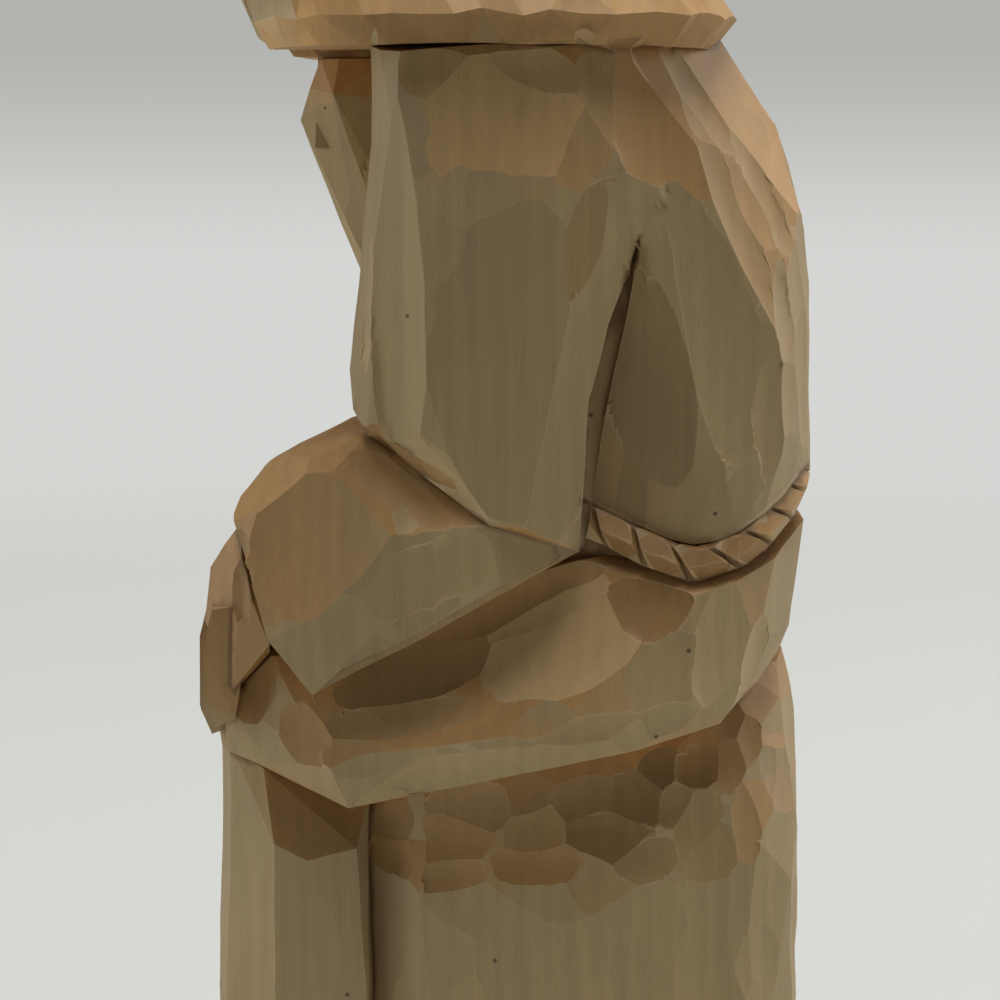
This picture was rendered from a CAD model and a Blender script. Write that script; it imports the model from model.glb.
# %% [markdown]
# # A knife-carved limewood figure
#
# The object is a seated, pensive figure of Jesus, 340 mm tall, cut with a knife and a gouge from one
# block of limewood. Its solid comes from the CAD model. This lesson takes a copy of that solid and gives
# it what a carver's tools leave: shallow chips, edges that wander, bright raised fibres, and wood grain.

import math

import bmesh
import bpy
import numpy as np
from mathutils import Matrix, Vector, kdtree, noise
from mathutils.bvhtree import BVHTree


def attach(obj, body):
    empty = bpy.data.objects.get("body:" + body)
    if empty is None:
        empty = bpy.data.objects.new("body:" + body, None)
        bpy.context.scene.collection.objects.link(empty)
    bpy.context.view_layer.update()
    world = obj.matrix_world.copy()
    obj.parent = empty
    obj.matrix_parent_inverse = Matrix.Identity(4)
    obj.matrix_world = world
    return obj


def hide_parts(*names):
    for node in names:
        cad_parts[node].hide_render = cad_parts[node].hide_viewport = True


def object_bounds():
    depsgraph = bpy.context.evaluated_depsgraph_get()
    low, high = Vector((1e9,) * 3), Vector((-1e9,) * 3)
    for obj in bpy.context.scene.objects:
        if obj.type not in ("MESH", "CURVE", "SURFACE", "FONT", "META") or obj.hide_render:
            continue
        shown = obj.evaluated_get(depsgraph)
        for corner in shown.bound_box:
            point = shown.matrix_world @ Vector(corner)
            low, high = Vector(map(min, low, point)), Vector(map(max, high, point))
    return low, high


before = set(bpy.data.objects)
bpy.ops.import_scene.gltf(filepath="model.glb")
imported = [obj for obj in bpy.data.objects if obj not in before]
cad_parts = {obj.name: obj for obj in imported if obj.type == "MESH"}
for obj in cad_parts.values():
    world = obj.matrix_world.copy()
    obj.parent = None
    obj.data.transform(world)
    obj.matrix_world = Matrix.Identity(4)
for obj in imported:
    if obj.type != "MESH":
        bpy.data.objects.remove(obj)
cad_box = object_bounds()
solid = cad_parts["statue"]
print("solid:", len(solid.data.vertices), "points, box", cad_box)

# %% [markdown]
# ## The camera
#
# The figure is seen from its left side, a little from above. A camera in Blender looks along its own -Z.
# It could be aimed with a Track To constraint, but turning a vector into a rotation is enough here, and
# leaves nothing that could move later. The lens is long, so that the upright sides stay parallel.

# %% Camera
AIM = Vector((0, -0.001, 0.168))
DISTANCE = 0.626
ELEVATION = math.radians(6)
LENS = 112.68


def place_camera():
    camera = bpy.data.objects.new("camera", bpy.data.cameras.new("camera"))
    bpy.context.scene.collection.objects.link(camera)
    away = Vector((math.cos(ELEVATION), 0, math.sin(ELEVATION)))
    camera.location = AIM + away * DISTANCE
    camera.rotation_euler = (-away).to_track_quat("-Z", "Y").to_euler()
    camera.data.lens = LENS
    camera.data.clip_start = 0.01
    bpy.context.scene.camera = camera
    return camera


camera = place_camera()
print("camera at", tuple(round(c, 3) for c in camera.location))

# %% [markdown]
# ## The carver's grid
#
# The CAD lays the figure out on a grid of 322 squares, from the plinth's top to the crown of the head. The
# places of the cuts below are named on the same grid, so that they fall where the solid's forms are.

# %% The carver's grid
PLINTH = 0.018
SQUARE = (cad_box[1][2] - PLINTH) / 322
ACROSS = 0.110 / 98


def spot(y, z, x=0.0):
    """A point of the grid: y squares behind the middle, z above the plinth, x to the figure's left."""
    return np.array((x * ACROSS, y * SQUARE, PLINTH + z * SQUARE))


def squares(points):
    """Points as places on the grid: y, z and the distance from the middle, the same on both sides."""
    return points[:, 1] / SQUARE, (points[:, 2] - PLINTH) / SQUARE, abs(points[:, 0]) / ACROSS


print("one square is", round(SQUARE * 1000, 3), "mm")

# %% [markdown]
# ## A fine skin over the solid
#
# The solid has few and large triangles. Coplanar ones are joined first, so that each flat side becomes one
# face, and each face gets a number. A Subdivision Surface modifier would round the edges, and a voxel remesh
# would blur them. So every edge that is too long is split in half, again and again, which keeps each crisp
# edge exactly where it is.

# %% Flats of the solid
LONGEST_EDGE = 0.0038


def flats_of(data):
    """Points, triangles and the number of each triangle's flat side."""
    mesh = bmesh.new()
    mesh.from_mesh(data)
    bmesh.ops.remove_doubles(mesh, verts=mesh.verts, dist=2e-6)
    bmesh.ops.dissolve_limit(
        mesh, angle_limit=math.radians(0.6), verts=mesh.verts, edges=mesh.edges
    )
    number = mesh.faces.layers.int.new("flat")
    for index, face in enumerate(mesh.faces):
        face[number] = index
    print("flat sides:", len(mesh.faces))
    bmesh.ops.triangulate(mesh, faces=mesh.faces)
    mesh.verts.index_update()
    points = np.array([vertex.co[:] for vertex in mesh.verts])
    corners = np.array([[vertex.index for vertex in face.verts] for face in mesh.faces])
    flats = np.array([face[number] for face in mesh.faces])
    mesh.free()
    return points, corners, flats


# %% Split edges
def edge_keys(corners, count):
    """One number for each edge of each triangle, the same from both sides."""
    ends = corners[:, [[0, 1], [1, 2], [2, 0]]].reshape(-1, 2)
    ends.sort(axis=1)
    return ends[:, 0].astype(np.int64) * count + ends[:, 1]


def split(points, corners, flats, share):
    """Splits edges at a share of their length, NaN for none, and returns also the ends and shares used."""
    count = len(points)
    keys, back = np.unique(edge_keys(corners, count), return_inverse=True)
    ends = np.stack([keys // count, keys % count], axis=1)
    t = share(ends)
    chosen = ~np.isnan(t)
    fresh = np.full(len(ends), -1)
    fresh[chosen] = count + np.arange(chosen.sum())
    middle = fresh[back].reshape(-1, 3)
    ends, t = ends[chosen], t[chosen, None]
    points = np.vstack([points, points[ends[:, 0]] * (1 - t) + points[ends[:, 1]] * t])
    splits = (middle >= 0).sum(axis=1)
    made = [corners[splits == 0]]
    numbers = [flats[splits == 0]]

    def add(which, *triangles):
        for triangle in triangles:
            made.append(np.stack(triangle, axis=1))
            numbers.append(flats[which])

    whole = splits == 3
    a, b, c = corners[whole].T
    ab, bc, ca = middle[whole].T
    add(whole, (a, ab, ca), (ab, b, bc), (ca, bc, c), (ab, bc, ca))
    for side in range(3):
        turned = np.roll(corners, -side, axis=1)
        halves = np.roll(middle, -side, axis=1)
        one = (splits == 1) & (halves[:, 0] >= 0)
        a, b, c = turned[one].T
        add(one, (a, halves[one, 0], c), (halves[one, 0], b, c))
        two = (splits == 2) & (halves[:, 0] < 0)
        a, b, c = turned[two].T
        bc, ca = halves[two, 1], halves[two, 2]
        add(two, (c, ca, bc))
        slant = np.linalg.norm(points[a] - points[bc], axis=1) < np.linalg.norm(points[b] - points[ca], axis=1)
        far = np.where(slant, bc, ca)
        near = np.where(slant, a, b)
        numbers += [flats[two], flats[two]]
        made.append(np.stack([a, b, far], axis=1))
        made.append(np.stack([near, bc, ca], axis=1))
    return points, np.vstack(made), np.concatenate(numbers), ends, t


# %% Fine skin
def fine_skin(data):
    points, corners, flats = flats_of(data)
    longest = np.inf
    while longest > LONGEST_EDGE:
        def halve(ends):
            length = np.linalg.norm(points[ends[:, 0]] - points[ends[:, 1]], axis=1)
            return np.where(length > LONGEST_EDGE, 0.5, np.nan)

        points, corners, flats, _, _ = split(points, corners, flats, halve)
        ends = corners[:, [0, 1, 2, 1, 2, 0]].reshape(-1, 2, 3).transpose(0, 2, 1).reshape(-1, 2)
        longest = np.linalg.norm(points[ends[:, 0]] - points[ends[:, 1]], axis=1).max()
    print("fine skin:", len(points), "points,", len(corners), "triangles")
    return points, corners, flats


points, corners, flats = fine_skin(solid.data)

# %% [markdown]
# ## Edges that wander
#
# A knife follows the hand, so no edge of the real carving is ruled straight. Moving every point a little by
# smooth noise bends the edges and leaves them sharp. The underside stays flat, because the figure stands on it.

# %% Wandering edges
def wander(points):
    moved = points.copy()
    for reach, amount in ((0.030, 0.00055), (0.011, 0.00022)):
        for index, point in enumerate(points):
            moved[index] += np.array(noise.noise_vector(Vector(point / reach))) * amount
    held = np.clip(points[:, 2] / 0.004, 0, 1)[:, None]
    return points + (moved - points) * held


points = wander(points)
print("edges wander by up to 0.6 mm")

# %% [markdown]
# ## Seams worked smooth
#
# The solid is joined from flat-sided blocks, and where two of them meet at nearly one level they leave a
# small step that no knife would. A Smooth modifier would soften the whole figure, so only the points near a
# few named lines are drawn towards their neighbours, the more the nearer they are.

# %% Smooth the seams
SEAMS = [
    [(24, 201, 38), (30, 209, 39), (38, 213, 38), (44, 218, 36)],
    [(20, 240, 38), (27, 229, 39), (36, 216, 38), (44, 208, 37)],
    [(-24, 220, 35), (-12, 216, 45), (3, 215, 46), (18, 215, 45), (24, 202, 39)],
]
SEAM_REACH = 0.0035


def smooth_seams(points, corners):
    lines = []
    for seam in SEAMS:
        for (y0, z0, x0), (y1, z1, x1) in zip(seam, seam[1:]):
            for side in (1, -1):
                for step in np.linspace(0, 1, 12):
                    a, b = spot(y0, z0, side * x0), spot(y1, z1, side * x1)
                    lines.append(a + (b - a) * step)
    tree = kdtree.KDTree(len(lines))
    for index, point in enumerate(lines):
        tree.insert(point, index)
    tree.balance()
    away = np.array([tree.find(point)[2] for point in points])
    pull = np.clip(1 - away / SEAM_REACH, 0, 1)[:, None]
    keys = np.unique(edge_keys(corners, len(points)))
    a, b = keys // len(points), keys % len(points)
    shared = np.bincount(np.concatenate([a, b]), minlength=len(points))[:, None]
    for _ in range(14):
        total = np.zeros_like(points)
        np.add.at(total, a, points[b])
        np.add.at(total, b, points[a])
        points = points + (total / shared - points) * pull * 0.6
    print("seams smoothed at", int((pull > 0).sum()), "points")
    return points


points = smooth_seams(points, corners)

# %% [markdown]
# ## Knife and gouge cuts
#
# Each chip that a gouge takes leaves a shallow dish with a crisp rim. It could be sculpted by hand or made
# by a Boolean with a rounded cutter. Hundreds of Booleans would be slow, so one function does the same on the
# skin: it splits the triangles along the rim of a shallow bowl and drops the points inside onto the bowl.
# A cut is skipped where it would run into a neighbouring form.

# %% The carving
FIRM_RIM = 1.35
STEP = 0.001
ROPE = 148


class Carving:
    """The skin of the wood while it is being cut."""

    def __init__(self, points, corners, flats):
        self.points, self.corners, self.flats = points, corners, flats
        self.facing = np.zeros_like(points)
        sides = self.sides()
        for corner in range(3):
            np.add.at(self.facing, corners[:, corner], sides)
        self.facing /= np.linalg.norm(self.facing, axis=1)[:, None] + 1e-20
        areas = np.bincount(flats, weights=np.linalg.norm(sides, axis=1) / 2)
        self.fine = np.zeros(len(points), bool)
        self.fine[corners[areas[flats] < 9e-6].reshape(-1)] = True
        self.held = self.fine & (abs(squares(points)[1] - ROPE) < 12)
        self.cuts = 0
        self.stains = {}

    def sides(self):
        a, b, c = (self.points[self.corners[:, k]] for k in range(3))
        return np.cross(b - a, c - a)

    def level(self, at, reach):
        """The direction that the wood faces around a point."""
        near = ((self.points[self.corners[:, 0]] - at) ** 2).sum(axis=1) < reach**2
        a, b, c = (self.points[self.corners[near, k]] for k in range(3))
        sides = np.cross(b - a, c - a)
        nearest = self.facing[((self.points - at) ** 2).sum(axis=1).argmin()]
        facing = sides[sides @ nearest > 0].sum(axis=0)
        return facing / np.linalg.norm(facing)

    @staticmethod
    def floor_of(height, along, over, under):
        """The level that a planned cut starts from: flat over a ridge, and bent along with a hollow."""
        terms = np.stack([np.ones_like(along), along, over, along**2, over**2], axis=1)
        found = np.linalg.lstsq(terms[under], height[under], rcond=None)[0]
        found[3:] = np.maximum(found[3:], 0)
        floor = terms @ found
        return floor + (height - floor)[under].mean()

    def chip(self, at, facing, stroke, length, width, depth, stain=None):
        """Takes one shallow chip of that length, width and depth, or leaves the wood if it would run on.

        The stain is how far the chip opens the grain and how much it darkens. A chip without one keeps the
        stain of the flat that it lies on."""
        near = np.flatnonzero(((self.points - at) ** 2).sum(axis=1) < (1.1 * max(length, width)) ** 2)
        stroke = stroke - facing * (stroke @ facing)
        stroke /= np.linalg.norm(stroke)
        offset = self.points[near] - at
        height = offset @ facing
        along = offset @ stroke
        over = offset @ np.cross(facing, stroke)
        rim = (2 * along / length) ** 2 + (2 * over / width) ** 2
        like = (self.facing[near] @ facing > 0.35) & (abs(height) < 0.5 * width)
        under = like & (rim < 1)
        if stain:
            like &= ~self.held[near] & (abs(height) < STEP + 0.15 * np.hypot(along, over))
            under &= like
        if under.sum() < 6:
            return False
        if stain:
            height = height - self.floor_of(height, along, over, under)
            proud = np.minimum(height - depth * (rim - 1), depth * 12 * (FIRM_RIM - rim))
            inside = like & (proud > 0)
            if inside.sum() < 4:
                return False
        else:
            proud = height - height[under].mean() - depth * (rim - 1)
            inside = like & (proud > 0) & (rim < 4.8)
            if (inside & ((rim > 1.9) | self.fine[near])).any() or not inside.any():
                return False
        above = np.full(len(self.points), -1.0)
        above[near] = np.where(inside, proud, np.minimum(proud, -1e-9))
        blocked = np.zeros(len(self.points), bool)
        blocked[near] = ~inside & (proud > 0)
        touched = (above[self.corners] > 0).any(axis=1)
        if not stain and blocked[self.corners[touched]].any():
            return False

        def crossing(ends):
            a, b = above[ends[:, 0]], above[ends[:, 1]]
            with np.errstate(divide="ignore", invalid="ignore"):
                return np.where((a > 0) != (b > 0), a / (a - b), np.nan)

        points, made, numbers, ends, t = split(
            self.points, self.corners[touched], self.flats[touched], crossing
        )
        fresh = self.facing[ends[:, 0]] * (1 - t) + self.facing[ends[:, 1]] * t
        level = np.concatenate([above, np.zeros(len(ends))])
        under_it = np.bincount(numbers[(level[made] > 0).any(axis=1)]).argmax()
        stain = stain or self.stains.get(under_it)
        if stain:
            self.stains[self.flats.max() + 1] = stain
        numbers = np.where((level[made] > 0).any(axis=1), self.flats.max() + 1, numbers)
        points[near[inside]] -= facing * proud[inside, None]
        self.points = points
        self.facing = np.vstack([self.facing, fresh])
        self.fine = np.concatenate([self.fine, self.fine[ends].all(axis=1)])
        self.held = np.concatenate([self.held, self.held[ends].all(axis=1)])
        self.corners = np.vstack([self.corners[~touched], made])
        self.flats = np.concatenate([self.flats[~touched], numbers])
        self.cuts += 1
        return True


carving = Carving(points, corners, flats)
print("wood ready to cut, fine detail on", int(carving.fine.sum()), "points")

# %% [markdown]
# ## Where the chips lie
#
# The flats are first walked over at random, always from the same seed, so the result is the same each time.
# Each chip follows the length of the limb or fold that it lies on, and its size follows its depth.

# %% Whittle
def whittle(carving, seed, tries, inside, length, width, share, lean=0.35):
    """Tries chips at random places for which inside(point, facing) holds, in ranges of length and width."""
    dice = np.random.default_rng(seed)
    sides = carving.sides()
    areas = np.linalg.norm(sides, axis=1)
    centres = carving.points[carving.corners].mean(axis=1)
    facings = sides / (areas[:, None] + 1e-20)
    tree = kdtree.KDTree(len(centres))
    for index, centre in enumerate(centres):
        tree.insert(centre, index)
    tree.balance()
    planned = np.isin(carving.flats, list(carving.stains))
    open_wood = inside(centres, facings) & ~carving.fine[carving.corners].any(axis=1) & ~planned
    chance = areas * open_wood
    before = carving.cuts
    for pick in dice.choice(len(areas), tries, p=chance / chance.sum()):
        at = centres[pick]
        around = np.array([found[1] for found in tree.find_range(at, 0.4 * width[1])])
        around = around[facings[around] @ facings[pick] > 0.5]
        facing = sides[around].sum(axis=0)
        facing /= np.linalg.norm(facing)
        stroke = np.array((dice.normal(0, lean), dice.normal(0, lean), 1.0))
        if abs(facing[2]) > 0.8:
            stroke = np.array((dice.normal(0, lean), 1.0, dice.normal(0, lean)))
        wide = dice.uniform(*width)
        carving.chip(at, facing, stroke, dice.uniform(*length), wide, wide * dice.uniform(*share))
    print("seed", seed, "took", carving.cuts - before, "of", tries, "chips")


def between(y0, y1, z0, z1, x0=0):
    """A test for wood in a box of the grid that isn't the plinth."""

    def inside(centres, facings):
        y, z, x = squares(centres)
        return (y > y0) & (y < y1) & (z > z0) & (z < z1) & (x > x0) & (abs(facings[:, 2]) < 0.98)

    return inside


whittle(carving, 3, 500, between(-70, 70, 1, 330), (0.016, 0.030), (0.010, 0.016), (0.018, 0.035))

# %% [markdown]
# ## Cuts with a place of their own
#
# The larger flats of the real carving aren't random: each was cut on purpose, to turn a fold or to sink a
# hollow. They are listed here by the part of the figure, as a carver would plan them, and each lies on the
# skin where a line from the side meets it. The far side gets the same cuts wherever its forms allow them.

# %% Planned cuts
PLANNED = {
    # middle y and z, lean from upright in degrees; length, width and depth in mm; grain opened, darker
    "upper_arm": [
        (-1, 182, -3, 60, 38, 0.5, 0.05, 0.10),
        (15, 203, 40, 24, 13, 0.3, 0.50, 0.08),
        (13, 174, 24, 62, 17, 0.5, 0.0, 0.0),
        (-20, 195, -6, 80, 13, 0.5, 0.0, -0.04),
    ],
    "shoulder": [
        (0, 226, 90, 44, 21, 0.5, 0.60, -0.28),
        (6, 234, 90, 22, 9, 0.35, 0.50, -0.06),
        (-14, 234, 60, 17, 10, 0.35, 0.50, -0.10),
        (17, 229, -15, 22, 8, 0.4, 0.45, -0.10),
        (28, 222, -26, 36, 17, 0.7, 1.0, 0.10),
        (36, 229, -42, 32, 9, 0.5, 0.50, -0.02),
        (43, 206, -21, 40, 9, 0.5, 0.40, 0.0),
        (48, 212, -23, 30, 8, 0.5, 0.35, 0.0),
    ],
    "back": [
        (28, 174, -16, 44, 17, 0.6, 0.25, 0.15),
        (40, 184, -19, 54, 17, 0.6, 0.0, 0.0),
        (50, 170, -11, 34, 9, 0.5, 0.10, -0.03),
        (53, 187, -8, 36, 8, 0.4, 0.20, 0.0),
    ],
    "forearm": [
        (-38, 165, 62, 24, 8, 0.4, 0.90, -0.05),
        (-38, 145, -10, 32, 20, 0.6, 0.75, 0.06),
        (-28, 149, -25, 24, 12, 0.4, 0.45, 0.04),
        (-19, 158, -50, 27, 13, 0.5, 0.95, 0.10),
        (-14, 142, 66, 44, 11, 0.4, 0.0, -0.04),
    ],
    "hand": [
        (-49, 140, -8, 18, 8, 0.3, 0.95, 0.12),
    ],
    "thigh": [
        (10, 128, 90, 34, 24, 0.8, 0.15, -0.14),
        (7, 136, 66, 26, 12, 0.5, 0.10, -0.16),
        (-1, 134, 66, 40, 8, 0.5, 0.50, 0.15),
        (-17, 122, 72, 33, 12, 0.6, 0.60, 0.22),
        (-20, 114, 85, 34, 8, 0.4, 0.55, 0.04),
        (16, 113, 82, 30, 7, 0.4, 0.30, 0.0),
        (29, 123, 60, 22, 12, 0.4, 0.15, 0.03),
        (26, 135, -60, 22, 12, 0.5, 1.0, 0.28),
        (40, 128, 10, 24, 13, 0.5, 0.0, -0.26),
        (47, 125, 5, 20, 9, 0.5, 0.0, -0.16),
        (-47, 117, 20, 18, 9, 0.4, 0.90, 0.06),
        (-38, 110, 30, 15, 12, 0.4, 0.95, 0.08),
        (-29, 108, 80, 16, 8, 0.35, 0.80, 0.06),
        (-5, 105, 80, 60, 7, 0.35, 0.0, -0.03),
    ],
    "under_the_skirt": [
        (-22, 91, 90, 14, 12, 0.7, 0.90, 0.18),
        (-7, 96, 82, 22, 11, 0.7, 0.60, 0.14),
        (16, 98, 80, 20, 11, 0.8, 0.90, 0.26),
        (25, 98, 70, 15, 13, 0.8, 1.0, 0.32),
        (37, 104, 65, 15, 9, 0.7, 1.0, 0.25),
        (43, 112, 40, 12, 9, 0.6, 0.90, 0.20),
        (-10, 90, 85, 22, 11, 0.8, 0.80, 0.06),
        (6, 92, 60, 15, 12, 0.8, 0.80, 0.12),
        (19, 91, 95, 19, 11, 0.8, 1.0, 0.30),
        (32, 97, 70, 11, 9, 0.6, 0.70, 0.08),
        (36, 93, 20, 14, 11, 0.7, 0.40, 0.08),
        (43, 104, 20, 12, 10, 0.6, 0.80, 0.12),
        (47, 108, 10, 14, 8, 0.5, 0.80, 0.05),
        (-22, 86, 95, 15, 9, 0.6, 0.90, 0.06),
        (-10, 84, 90, 14, 8, 0.6, 0.90, 0.06),
        (8, 86, 92, 25, 9, 0.7, 1.0, 0.14),
        (27, 87, 85, 15, 9, 0.6, 0.30, 0.06),
        (39, 87, 40, 13, 11, 0.6, 0.45, 0.10),
        (46, 93, 8, 19, 8, 0.5, 0.70, 0.0),
    ],
}


EDGES = [
    # middle y and z, turn of the cut from the side to the front in degrees; then as above
    (-25.5, 220, 62, -1, 44, 4.5, 0.15, 0.0, -0.30),
    (-25.5, 190, 55, -3, 30, 3.5, 0.15, 0.0, -0.15),
]


def plan(carving):
    """Takes the planned cuts on both sides, each a little smaller where the wood doesn't allow it whole."""
    skin = BVHTree.FromPolygons(carving.points.tolist(), carving.corners.tolist())
    for part, rows in PLANNED.items():
        left_out = []
        for y, z, lean, length, width, depth, opens, darkens in rows:
            lean = math.radians(lean)
            stroke = np.array((0, math.sin(lean), math.cos(lean)))
            for side in (1, -1):
                found = skin.ray_cast(Vector(spot(y, z, 180 * side)), Vector((-side, 0, 0)))[0]
                if found is None:
                    continue
                facing = carving.level(np.array(found), 0.0004 * width)
                for size in (0.001, 0.00085, 0.0007, 0.00055):
                    sizes = (length * size, width * size, depth * size)
                    if carving.chip(np.array(found), facing, stroke, *sizes, (opens, darkens)):
                        break
                else:
                    left_out.append((y, z, side))
        print(part, "cuts:", len(rows), "left out:", left_out)
    for y, z, turn, lean, length, width, depth, opens, darkens in EDGES:
        turn, lean = math.radians(turn), math.radians(lean)
        for side in (1, -1):
            at = np.array(skin.ray_cast(Vector(spot(y, z, 180 * side)), Vector((-side, 0, 0)))[0])
            facing = np.array((side * math.cos(turn), -math.sin(turn), 0))
            stroke = np.array((0, math.sin(lean), math.cos(lean)))
            sizes = (length * 0.001, width * 0.001, depth * 0.001)
            print("edge cut:", carving.chip(at, facing, stroke, *sizes, (opens, darkens)))


plan(carving)

# %% Broad chips and small ones
whittle(carving, 10, 160, between(38, 62, 160, 240, 0), (0.014, 0.024), (0.007, 0.011), (0.02, 0.04), 0.2)
whittle(carving, 11, 60, between(-58, -18, 125, 168, 24), (0.010, 0.018), (0.006, 0.010), (0.02, 0.04), 0.6)
whittle(carving, 12, 200, between(-62, 45, 245, 322, 0), (0.010, 0.018), (0.006, 0.010), (0.03, 0.06), 0.3)
whittle(carving, 8, 60, between(-27, 54, 82, 116, 24), (0.009, 0.013), (0.007, 0.010), (0.03, 0.06), 0.9)
whittle(carving, 4, 300, between(-70, 70, 1, 330), (0.009, 0.018), (0.006, 0.010), (0.015, 0.03))
print("triangles now:", len(carving.corners))

# %% [markdown]
# ## What the finish needs to know
#
# Raised fibres catch the light on outward edges, and dust and burnish darken the inward ones. The finish
# can't see the edges by itself in a way that survives an export, so the mesh carries them: for each point
# how far it is from the nearest outward edge and from the nearest inward one, and for each side a tone.

# %% Edges and tones
def edge_table(carving):
    """For each edge: its ends, the two sides beside it, and how far it bends, outward above zero."""
    count = len(carving.points)
    keys = edge_keys(carving.corners, count)
    order = np.argsort(keys, kind="stable")
    first, second = order[0::2], order[1::2]
    assert (keys[first] == keys[second]).all()
    sides = carving.sides()
    sides = sides / (np.linalg.norm(sides, axis=1)[:, None] + 1e-20)
    a, b = first // 3, second // 3
    bend = np.arccos(np.clip((sides[a] * sides[b]).sum(axis=1), -1, 1))
    centres = carving.points[carving.corners].mean(axis=1)
    outward = ((centres[b] - centres[a]) * sides[a]).sum(axis=1) < 0
    ends = np.stack([keys[first] // count, keys[first] % count], axis=1)
    return ends, np.stack([a, b], axis=1), np.where(outward, bend, -bend)


def distance_from(carving, ends, chosen):
    """How far each point is from the chosen edges, walked along the skin, up to about 4 mm."""
    away = np.full(len(carving.points), 0.004)
    away[ends[chosen].reshape(-1)] = 0
    length = np.linalg.norm(carving.points[ends[:, 0]] - carving.points[ends[:, 1]], axis=1)
    for _ in range(5):
        for a, b in ((0, 1), (1, 0)):
            np.minimum.at(away, ends[:, b], away[ends[:, a]] + length)
    return away


edges, beside, bends = edge_table(carving)
parted = carving.flats[beside[:, 0]] != carving.flats[beside[:, 1]]
ridge = distance_from(carving, edges, parted & (bends > math.radians(26)))
areas = np.bincount(carving.flats, weights=np.linalg.norm(carving.sides(), axis=1) / 2)[carving.flats]
small = areas[beside].min(axis=1) < 12e-6
_, high, _ = squares(carving.points[edges[:, 0]])
dent = small & (high < 238) & (abs(high - ROPE) > 12)
crease = distance_from(carving, edges, parted & (bends < -math.radians(30)) & ~dent)
tones = np.random.default_rng(21).uniform(-1, 1, carving.flats.max() + 1)[carving.flats]


def smooth_step(value, low, high):
    share = np.clip((value - low) / (high - low), 0, 1)
    return share * share * (3 - 2 * share)


def open_grain(carving):
    """How far each side cuts across the fibres: none on an upright side, most on a sloping one."""
    sides = carving.sides()
    count = carving.flats.max() + 1
    slope = np.bincount(carving.flats, weights=sides[:, 2], minlength=count)
    size = np.bincount(carving.flats, weights=np.linalg.norm(sides, axis=1), minlength=count) + 1e-20
    own = sides[:, 2] / (np.linalg.norm(sides, axis=1) + 1e-20)
    slope = (slope / size)[carving.flats] * 0.6 + own * 0.4 + tones * 0.03
    return smooth_step(slope, 0.07, 0.30) + smooth_step(-slope, 0.38, 0.66)


# %% [markdown]
# ## Stains of the wood
#
# The same cut can be paler or browner where the fibres dip, where a hand has burnished it, or in a hollow that
# light seldom reaches. These places are few, so each is named by its middle and reach on the grid, with how
# much it opens the grain and how much it darkens. A whole flat follows its own middle, so that the tone
# changes at a knife edge as in the wood.

# %% Stains
STAINS = [
    # middle y and z, reach along y and z, opened, darker
    (24, 166, 9, 16, 0.30, 0.14),
    (30, 156, 16, 9, 0.15, 0.10),
    (30, 144, 28, 5, 0.5, 0.26),
    (-38, 92, 8, 9, 0.8, 0.30),
    (26, 100, 12, 6, 0.0, 0.10),
    (-15, 241, 30, 2.5, 0.2, 0.25),
    (25, 241, 22, 2.5, 0.2, 0.10),
    (-40, 242, 10, 5, 0.0, -0.25),
    (-33, 234, 9, 9, 0.5, -0.16),
    (-53, 128, 8, 16, 0.7, 0.05),
    (-18, 166, 6, 4, -0.5, -0.18),
    (-12, 160.5, 6, 4, -0.5, -0.18),
    (-6, 155, 4, 3, -0.5, -0.18),
    (0, 270, 70, 22, 0.0, -0.20),
    (24, 52, 20, 26, 0.0, -0.04),
    (-10, 52, 14, 26, 0.0, -0.06),
]
ROPE_ROUTE = [(-18, 152), (13, 150.5), (25.5, 145.5), (34.5, 142.6), (43, 144.3), (49.8, 148.6), (57.5, 158.5)]
ROPE_TONES = {"up": (0.85, 0.20), "down": (0.25, -0.14)}
HEM_DEPTH = 14


def stained(carving):
    """How much more the grain is opened, and how much darker it is, for each side of the skin."""
    centres = carving.points[carving.corners].mean(axis=1)
    count = carving.flats.max() + 1
    size = np.bincount(carving.flats, minlength=count) + 1e-9
    middles = np.stack([np.bincount(carving.flats, weights=centres[:, k], minlength=count) / size for k in range(3)], 1)
    centres = centres * 0.45 + middles[carving.flats] * 0.55
    y, z, x = squares(centres)
    more, darker = np.zeros(len(centres)), np.zeros(len(centres))
    for y0, z0, reach_y, reach_z, opens, darkens in STAINS:
        share = 1 - smooth_step(np.hypot((y - y0) / reach_y, (z - z0) / reach_z), 0.6, 1.15)
        more += share * opens
        darker += share * darkens
    opened = open_grain(carving) + more
    for flat, (opens, darkens) in carving.stains.items():
        within = carving.flats == flat
        opened[within] = opened[within] * 0.2 + opens * 0.8
        darker[within] += darkens
    rope_z = np.interp(y, *np.array(ROPE_ROUTE).T)
    slope = carving.sides()[:, 2] / (np.linalg.norm(carving.sides(), axis=1) + 1e-20)
    rope = carving.held[carving.corners].all(axis=1) & (abs(z - rope_z) < 4.5) & (y > 12)
    for on, (opens, darkens) in zip((rope & (slope > 0.1), rope & (slope < 0)), ROPE_TONES.values()):
        opened[on], darker[on] = opens, darkens
    hem = ~rope & (z > rope_z + 1.5) & (z < rope_z + HEM_DEPTH) & (y > 12) & (x > 0)
    return np.clip(opened, 0, 1), np.clip(darker, -0.3, 0.6), hem


opened, darker, hem = stained(carving)
print("stains:", len(STAINS), "darkest", round(float(darker.max()), 2))
print("outward edges:", int((parted & (bends > 0.16)).sum()), "inward:", int((parted & (bends < -0.28)).sum()))

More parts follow.
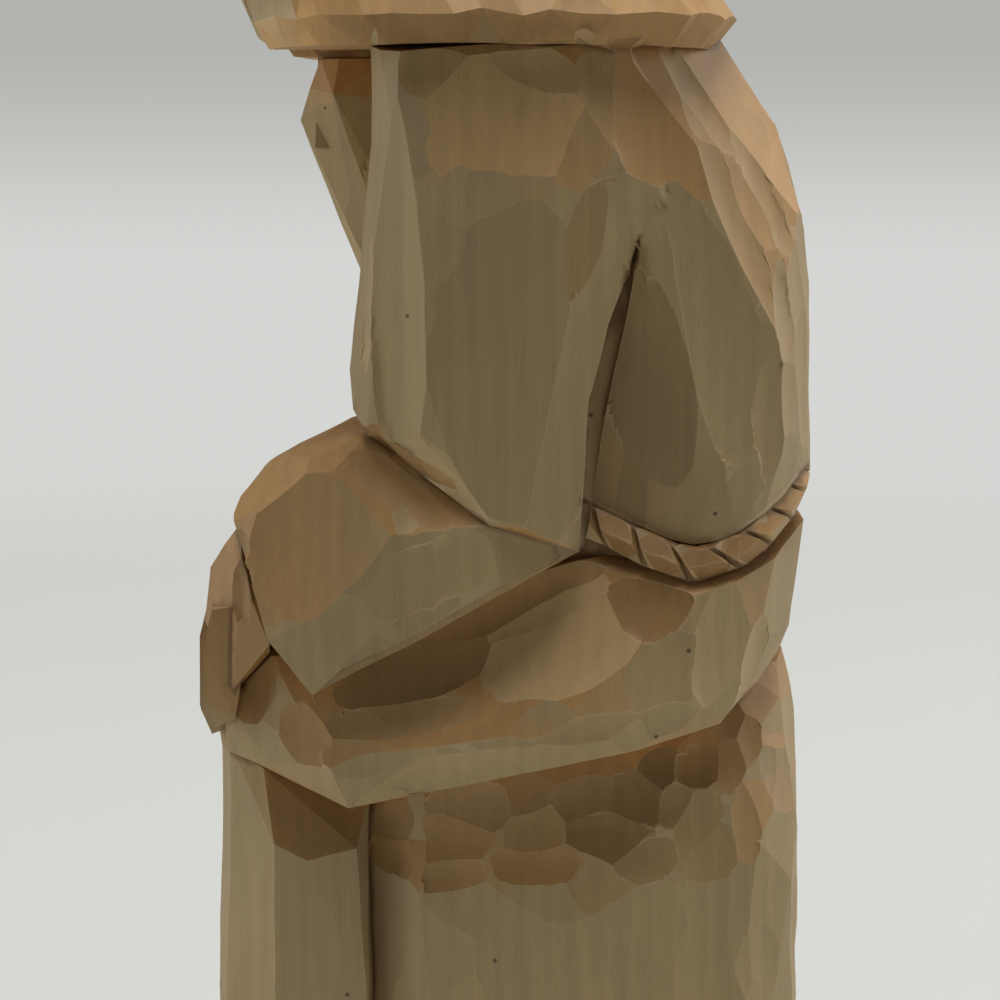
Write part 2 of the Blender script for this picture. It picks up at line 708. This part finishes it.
# %% Dress the solid
def carved_piece(name, carving):
    data = bpy.data.meshes.new(name)
    data.from_pydata(carving.points.tolist(), [], carving.corners.tolist())
    data.shade_smooth()
    made = np.zeros(len(data.edges) * 2, np.int32)
    data.edges.foreach_get("vertices", made)
    made = np.sort(made.reshape(-1, 2), axis=1).astype(np.int64)
    count = len(carving.points)
    keys = edges[:, 0] * count + edges[:, 1]
    order = np.argsort(keys)
    place = order[np.searchsorted(keys[order], made[:, 0] * count + made[:, 1])]
    sharp = (parted & (abs(bends) > math.radians(2)))[place] | (abs(bends[place]) > math.radians(30))
    data.attributes.new("sharp_edge", "BOOLEAN", "EDGE").data.foreach_set("value", sharp)
    for word, values, domain in (("ridge", ridge, "POINT"), ("crease", crease, "POINT"), ("tone", tones, "FACE"), ("opened", opened, "FACE"),
                                 ("darker", darker, "FACE"), ("hem", hem, "FACE")):
        data.attributes.new(word, "FLOAT", domain).data.foreach_set("value", values.astype(np.float32))
    data.update()
    piece = bpy.data.objects.new(name, data)
    bpy.context.scene.collection.objects.link(piece)
    return piece


figure = carved_piece("carved_figure", carving)
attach(figure, "root")
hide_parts("statue")
print("carved figure:", len(figure.data.polygons), "triangles")

# %% [markdown]
# ## Shader maths as sums
#
# A finish is a net of nodes. Wiring it by hand hides the arithmetic, so one small class wraps a socket and
# lets +, -, * and / add the Math node. Any other node comes from its method named node.

# %% Sockets that can be added up
class Sum:
    """A node's output on which plain arithmetic works."""

    def __init__(self, tree, socket=None):
        self.tree = tree
        self.socket = socket

    def node(self, kind, settings=None, sockets=None, output=0):
        """A new node: its settings first, then the values or links of its sockets."""
        made = self.tree.nodes.new(kind)
        for name, value in (settings or {}).items():
            if name == "stops":
                stops = made.color_ramp.elements
                while len(stops) < len(value):
                    stops.new(0.5)
                for stop, (position, colour) in zip(stops, value):
                    stop.position = position
                    stop.color = colour
            else:
                setattr(made, name, value)
        for name, value in (sockets or {}).items():
            if isinstance(value, Sum):
                self.tree.links.new(value.socket, made.inputs[name])
            else:
                made.inputs[name].default_value = value
        return Sum(self.tree, made.outputs[output])

    def maths(self, operation, a, b=0.0):
        return self.node("ShaderNodeMath", {"operation": operation}, {0: a, 1: b})

    def __add__(self, other):
        return self.maths("ADD", self, other)

    def __radd__(self, other):
        return self.maths("ADD", other, self)

    def __sub__(self, other):
        return self.maths("SUBTRACT", self, other)

    def __rsub__(self, other):
        return self.maths("SUBTRACT", other, self)

    def __mul__(self, other):
        return self.maths("MULTIPLY", self, other)

    def __rmul__(self, other):
        return self.maths("MULTIPLY", other, self)

    def __truediv__(self, other):
        return self.maths("DIVIDE", self, other)

    def __pow__(self, other):
        return self.maths("POWER", self, other)

    def __abs__(self):
        return self.maths("ABSOLUTE", self)

    def above(self, low, high):
        """0 at low and under, 1 at high and over, smooth between."""
        return self.node(
            "ShaderNodeMapRange",
            {"interpolation_type": "SMOOTHSTEP"},
            {"Value": self, "From Min": low, "From Max": high},
        )

    def under(self, low, high):
        return 1 - self.above(low, high)

    def mix(self, share, first, second, blend="MIX"):
        """A blend of two colours by a share."""
        return self.node(
            "ShaderNodeMix",
            {"data_type": "RGBA", "blend_type": blend},
            {0: share, 6: first, 7: second},
            2,
        )


# %% [markdown]
# ## Limewood
#
# Lime is a pale, even wood. Its fibres run upright through the whole block, so an upright flat shows them
# from the side, pale and finely streaked, and a slanting cut opens their ends and looks browner. The finish
# reads each side's slope for that. Rings round an upright pith, long streaks, pores and a few dark specks
# are noise in three dimensions, stretched along the fibres, so they run through the block as in real wood.

# %% Limewood
SIDE_GRAIN = (0.455, 0.330, 0.168, 1)
END_GRAIN = (0.475, 0.270, 0.098, 1)
RAISED_FIBRE = (0.70, 0.55, 0.36, 1)
BURNISHED = (0.20, 0.105, 0.045, 1)
SPECK = (0.05, 0.035, 0.02, 1)
SPECK_PLACES = [(-2, 68), (34, 127), (28, 111), (39, 152), (16, 170), (-18, 189), (-36, 228), (12, 30), (-30, 60)]
PITH = (0.05, 0.21)


def on_the_skin(y, z, side=1):
    """Where a line from the figure's side meets the carved skin."""
    origin = Vector(spot(y, z, 180 * side))
    return figure.ray_cast(origin, Vector((-side, 0, 0)))[1]


SPECKS = [on_the_skin(y, z) for y, z in SPECK_PLACES]


def limewood():
    material = bpy.data.materials.new("limewood")
    material.use_nodes = True
    tree = material.node_tree
    shader = tree.nodes["Principled BSDF"]
    start = Sum(tree)
    place = start.node("ShaderNodeTexCoord", output="Object")

    def along_fibres(scale, stretch, detail, seed):
        spread = start.node(
            "ShaderNodeVectorMath",
            {"operation": "MULTIPLY_ADD"},
            {0: place, 1: (scale, scale, scale / stretch), 2: (seed, seed * 2, seed * 3)},
        )
        return start.node("ShaderNodeTexNoise", None, {"Vector": spread, "Scale": 1.0, "Detail": detail}, "Fac")

    def stored(word):
        return start.node("ShaderNodeAttribute", {"attribute_name": word}, None, "Fac")

    broad = along_fibres(22, 2.5, 2, 1)
    streaks = along_fibres(420, 28, 4, 2)
    fibres = along_fibres(1900, 40, 3, 3)
    pores = along_fibres(2600, 9, 1, 4)
    x = start.node("ShaderNodeSeparateXYZ", None, {0: place}, "X")
    y = start.node("ShaderNodeSeparateXYZ", None, {0: place}, "Y")
    from_pith = ((x - PITH[0]) ** 2 + (y - PITH[1]) ** 2) ** 0.5
    rings = start.maths("SINE", (from_pith + broad * 0.012) * (2 * math.pi / 0.0042))
    end_grain = stored("opened")
    colour = start.mix(end_grain, SIDE_GRAIN, END_GRAIN)
    value = 1 + (broad - 0.5) * 0.40 + (streaks - 0.5) * 0.20 + (fibres - 0.5) * 0.20
    value = (value + rings * 0.025 + stored("tone") * 0.05) * (1 - stored("darker"))
    value = value * (1 - pores.above(0.66, 0.80) * 0.12)
    grey = start.node("ShaderNodeCombineColor", None, {0: value, 1: value, 2: value})
    colour = start.mix(1.0, colour, grey, "MULTIPLY")
    from_crease = stored("crease") * 1000 + (broad - 0.5) * 1.5
    hem = stored("hem")
    dark = from_crease.under(0.0, 1.6) * (1 - hem * 0.7) * 0.75
    colour = start.mix(dark, colour, BURNISHED)
    trimmed = hem * from_crease.above(0.1, 0.5) * from_crease.under(1.0, 1.5) * 0.5
    worn = (stored("ridge") * 1000 + (streaks - 0.5) * 0.5).under(0.0, 0.30) * broad.above(0.35, 0.65) * 0.30
    colour = start.mix(start.maths("MAXIMUM", worn, trimmed), colour, RAISED_FIBRE)
    for speck in SPECKS:
        away = start.node("ShaderNodeVectorMath", {"operation": "DISTANCE"}, {0: place, 1: speck}, "Value")
        colour = start.mix((away + (fibres - 0.5) * 0.0005).under(0.00025, 0.00055) * 0.8, colour, SPECK)
    tree.links.new(colour.socket, shader.inputs["Base Color"])
    rough = 0.68 - end_grain * 0.10 + (fibres - 0.5) * 0.2
    tree.links.new(rough.socket, shader.inputs["Roughness"])
    height = fibres * 0.5 + streaks * 0.7 - pores.above(0.6, 0.75) * 0.5
    bump = start.node(
        "ShaderNodeBump", None, {"Strength": 0.35, "Distance": 0.00012, "Height": height}, "Normal"
    )
    tree.links.new(bump.socket, shader.inputs["Normal"])
    shader.inputs["Specular IOR Level"].default_value = 0.35
    return material


figure.data.materials.append(limewood())
print("limewood has", len(figure.data.materials[0].node_tree.nodes), "nodes")

# %% [markdown]
# ## Torn fibres
#
# Where two cuts meet in a corner the last fibres aren't cut but torn, and a few stand out of the corner as
# thin splinters. A hair system would be lost in the export, so each splinter is a small tapered strip of
# mesh, bent a little, whose foot is sunk in the wood.

# %% Torn fibres
TORN = [
    # y and z of the corner, how many, how long in mm
    (24.5, 203, 6, 4.5),
    (24.0, 197, 5, 4.0),
    (-35, 118, 5, 2.6),
    (-28, 97, 4, 2.2),
]


def tear(mesh, foot, along, out, length, width):
    """One splinter: a three-sided strip from its foot, thinner and bent outward towards its tip."""
    side = along.cross(out).normalized() * width
    rings = []
    for step in range(4):
        share = step / 3
        middle = foot + along * length * share + out * length * 0.22 * share**2
        size = 1 - 0.85 * share
        corners = (middle - side * size, middle + side * size, middle + out * width * size)
        rings.append([mesh.verts.new(corner) for corner in corners])
    for low, high in zip(rings, rings[1:]):
        for i in range(3):
            j = (i + 1) % 3
            mesh.faces.new((low[i], low[j], high[j], high[i]))
    mesh.faces.new(rings[0][::-1])
    mesh.faces.new(rings[-1])


def torn_fibres():
    dice = np.random.default_rng(5)
    mesh = bmesh.new()
    for y, z, count, length in TORN:
        for side in (1, -1):
            for _ in range(count):
                foot = on_the_skin(y + dice.uniform(-1, 1), z + dice.uniform(-2.5, 2.5), side)
                along = Vector((0, dice.uniform(-0.5, 0.5), dice.choice((-1, 1)))).normalized()
                out = Vector((side, dice.uniform(-0.3, 0.3), 0)).normalized()
                tear(mesh, foot - out * 0.0002, along, out, length * dice.uniform(0.0006, 0.001), 0.00022)
    bmesh.ops.recalc_face_normals(mesh, faces=mesh.faces)
    data = bpy.data.meshes.new("torn_fibres")
    mesh.to_mesh(data)
    mesh.free()
    for word, value in (("ridge", 0.001), ("crease", 0.004), ("tone", 0.0), ("opened", 0.5), ("darker", -0.1)):
        values = np.full(len(data.vertices), value, np.float32)
        data.attributes.new(word, "FLOAT", "POINT").data.foreach_set("value", values)
    piece = bpy.data.objects.new("torn_fibres", data)
    bpy.context.scene.collection.objects.link(piece)
    data.materials.append(figure.data.materials[0])
    return piece


splinters = torn_fibres()
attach(splinters, "root")
print("torn fibres:", len(splinters.data.polygons), "faces")

# %% [markdown]
# ## Floor and light
#
# The carving stands on a plain pale floor, which fades into an even backdrop, so no horizon cuts the picture.
# The soft light comes from above, from behind and from both sides, and little of it from the camera's side:
# the near flats lie in even shade, and those that turn away catch the light.

# %% Floor
FLOOR = (0.57, 0.58, 0.555, 1)


def lay_floor():
    mesh = bmesh.new()
    bmesh.ops.create_circle(mesh, cap_ends=True, segments=96, radius=6)
    data = bpy.data.meshes.new("floor")
    mesh.to_mesh(data)
    mesh.free()
    floor = bpy.data.objects.new("floor", data)
    bpy.context.scene.collection.objects.link(floor)
    material = bpy.data.materials.new("pale_floor")
    material.use_nodes = True
    tree = material.node_tree
    shader = tree.nodes["Principled BSDF"]
    shader.inputs["Base Color"].default_value = FLOOR
    shader.inputs["Roughness"].default_value = 0.85
    start = Sum(tree)
    place = start.node("ShaderNodeTexCoord", output="Object")
    away = start.node("ShaderNodeVectorMath", {"operation": "LENGTH"}, {0: place}, "Value")
    clear = start.node("ShaderNodeBsdfTransparent")
    faded = start.node("ShaderNodeMixShader", None, {0: away.above(0.5, 1.9), 2: clear})
    tree.links.new(shader.outputs[0], faded.socket.node.inputs[1])
    tree.links.new(faded.socket, tree.nodes["Material Output"].inputs["Surface"])
    data.materials.append(material)
    return floor


floor = lay_floor()

# %% Lamps
LAMPS = {
    # place, what it points at, side of its square, power in watts, colour
    "above": ((-0.10, 0.15, 3.2), (0, 0, 0.15), 1.8, 100, (1.0, 0.99, 0.97)),
    "behind": ((-1.9, 0.0, 0.9), (0, 0, 0.2), 1.6, 2, (1.0, 0.99, 0.98)),
    "front_end": ((-0.35, -1.8, 0.6), (0, 0, 0.2), 1.4, 12, (0.96, 0.98, 1.0)),
    "back_end": ((-0.9, 1.65, 0.8), (0, 0, 0.2), 1.4, 18, (0.96, 0.98, 1.0)),
}


def hang_lamps():
    for name, (place, target, side, power, colour) in LAMPS.items():
        lamp = bpy.data.lights.new(name, "AREA")
        lamp.shape = "SQUARE"
        lamp.size = side
        lamp.energy = power
        lamp.color = colour
        holder = bpy.data.objects.new(name, lamp)
        bpy.context.scene.collection.objects.link(holder)
        holder.location = place
        holder.rotation_euler = (Vector(target) - Vector(place)).to_track_quat("-Z", "Y").to_euler()
        holder.visible_camera = False


hang_lamps()

# %% Backdrop
BACKDROP_LOW = (0.67, 0.675, 0.655, 1)
BACKDROP_HIGH = (0.45, 0.455, 0.435, 1)
AMBIENT = 0.052


def pale_room():
    """An even backdrop, a little darker above, which lights the carving only weakly."""
    world = bpy.data.worlds.new("pale_room")
    world.use_nodes = True
    tree = world.node_tree
    back = tree.nodes["Background"]
    back.inputs["Color"].default_value = (AMBIENT, AMBIENT, AMBIENT, 1)
    start = Sum(tree)
    seen = start.node("ShaderNodeLightPath", output="Is Camera Ray")
    towards = start.node("ShaderNodeTexCoord", output="Generated")
    rise = start.node("ShaderNodeSeparateXYZ", None, {0: towards}, "Z")
    colour = start.mix(rise.above(-0.035, 0.045), BACKDROP_LOW, BACKDROP_HIGH)
    plain = start.node("ShaderNodeBackground", None, {"Color": colour})
    both = start.node("ShaderNodeMixShader", None, {0: seen, 2: plain})
    tree.links.new(back.outputs[0], both.socket.node.inputs[1])
    tree.links.new(both.socket, tree.nodes["World Output"].inputs["Surface"])
    bpy.context.scene.world = world


pale_room()
bpy.context.scene.view_settings.view_transform = "Standard"
print("lamps:", len(LAMPS))
